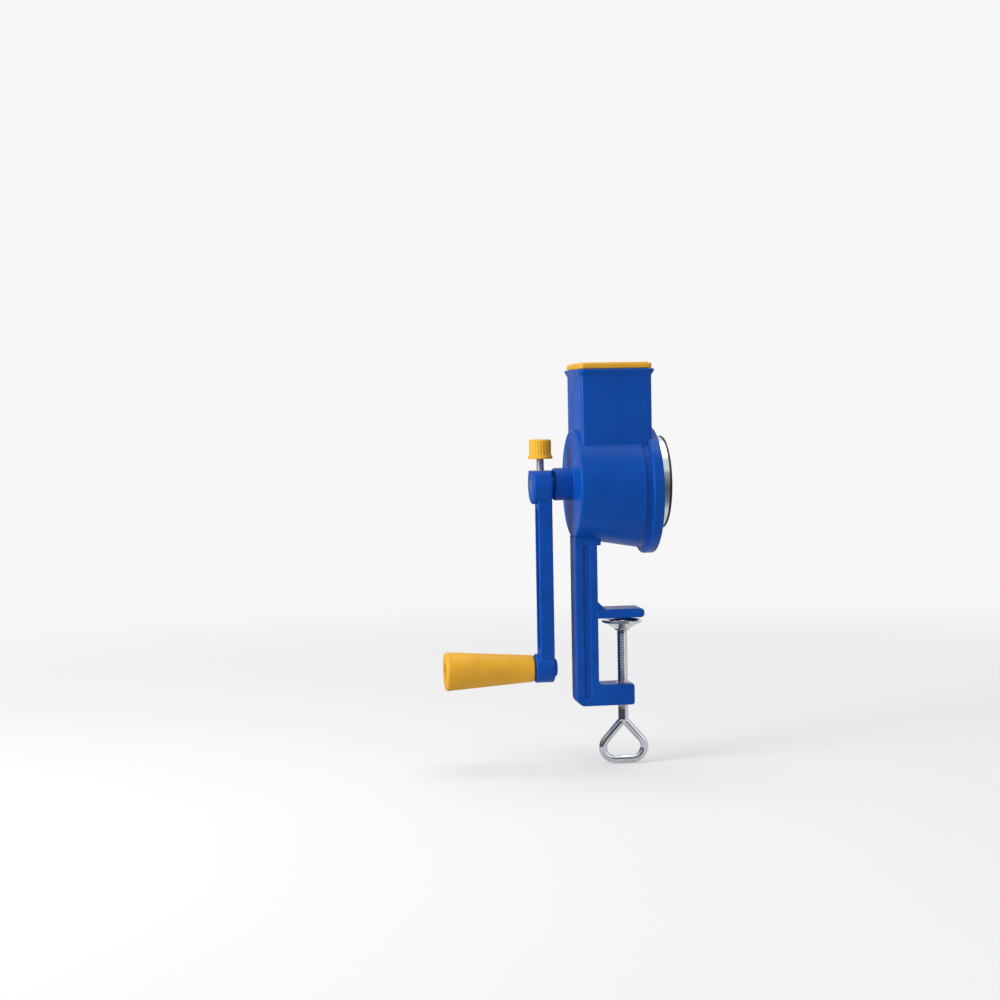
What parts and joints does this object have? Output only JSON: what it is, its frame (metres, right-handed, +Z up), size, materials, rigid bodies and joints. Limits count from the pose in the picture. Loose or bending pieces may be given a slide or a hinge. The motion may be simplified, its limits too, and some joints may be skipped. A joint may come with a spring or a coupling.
{
  "type": "hand cranked nut grinder",
  "caption": "Table-clamped hand grinder for nuts: square hopper with pusher over a perforated drum in a round housing, turned by a crank.",
  "frame": {"origin": "the point of the clamp jaw's underside that lies on the clamp screw's axis", "axes": "+Z up, +X along the drum from the crank side to the open mouth, -Y the front"},
  "size_m": [0.1742, 0.0992, 0.3146],
  "materials": {
    "blue_plastic": "moulded, semi-gloss",
    "yellow_plastic": "moulded, satin",
    "white_plastic": "moulded, satin",
    "zinc_steel": "zinc plated",
    "dark_steel": "dark, oiled",
    "tinplate": "bright tinned sheet",
    "bush_brass": "turned",
    "chrome": "bright plated"
  },
  "bodies": {
    "root": {"body_casing": "blue_plastic", "clamp_bracket": "blue_plastic", "clamp_bush": "zinc_steel", "bracket_screws": "zinc_steel", "shaft_bush": "bush_brass"},
    "crank": {"crank_arm": "blue_plastic", "crank_washer": "zinc_steel", "hub_insert": "bush_brass", "handle_bolt": "zinc_steel", "handle_nut": "zinc_steel", "handle_washer": "dark_steel"},
    "drum": {"drum_shaft": "zinc_steel", "drum_hub": "zinc_steel", "drum_end_disc": "tinplate", "drum_rivets": "zinc_steel", "drum_shell": "tinplate", "drum_mouth_band": "tinplate", "drum_mouth_bead": "dark_steel", "thrust_washer": "zinc_steel"},
    "grip": {"handle_grip": "yellow_plastic"},
    "thumb_screw": {"thumb_screw_shank": "zinc_steel"},
    "thumb_knob": {"thumb_knob": "yellow_plastic"},
    "pad": {"clamp_pad": "chrome"},
    "clamp_screw": {"clamp_screw": "chrome"},
    "pusher": {"pusher_plate": "yellow_plastic", "pusher_plunger": "white_plastic"}
  },
  "joints": [
    {"name": "crank_turn", "type": "hinge", "parent": "root", "child": "crank", "pos_m": [0, 0, 0.105], "axis": [1, 0, 0], "continuous": true},
    {"name": "drum_pull_out", "type": "slide", "parent": "crank", "child": "drum", "axis": [1, 0, 0], "range_m": [0, 0.036]},
    {"name": "handle_spin", "type": "hinge", "parent": "crank", "child": "grip", "pos_m": [0, 0, -0.0385], "axis": [1, 0, 0], "continuous": true},
    {"name": "thumb_screw_advance", "type": "slide", "parent": "crank", "child": "thumb_screw", "axis": [0, 0, 1], "range_m": [0, 0.004]},
    {"name": "thumb_screw_turn", "type": "hinge", "parent": "thumb_screw", "child": "thumb_knob", "pos_m": [-0.063, 0, 0.12], "axis": [0, 0, 1], "continuous": true},
    {"name": "clamp_advance", "type": "slide", "parent": "root", "child": "pad", "axis": [0, 0, 1], "range_m": [-0.0375, 0]},
    {"name": "clamp_turn", "type": "hinge", "parent": "pad", "child": "clamp_screw", "pos_m": [0, 0, -0.03], "axis": [0, 0, 1], "continuous": true},
    {"name": "pusher_lift", "type": "slide", "parent": "root", "child": "pusher", "axis": [0, 0, 1], "range_m": [0, 0.045]}
  ],
  "couplings": [
    {"joint": "thumb_screw_turn", "follows": "thumb_screw_advance", "rad_per_m": 6283.2},
    {"joint": "clamp_turn", "follows": "clamp_advance", "rad_per_m": 5026.5}
  ]
}
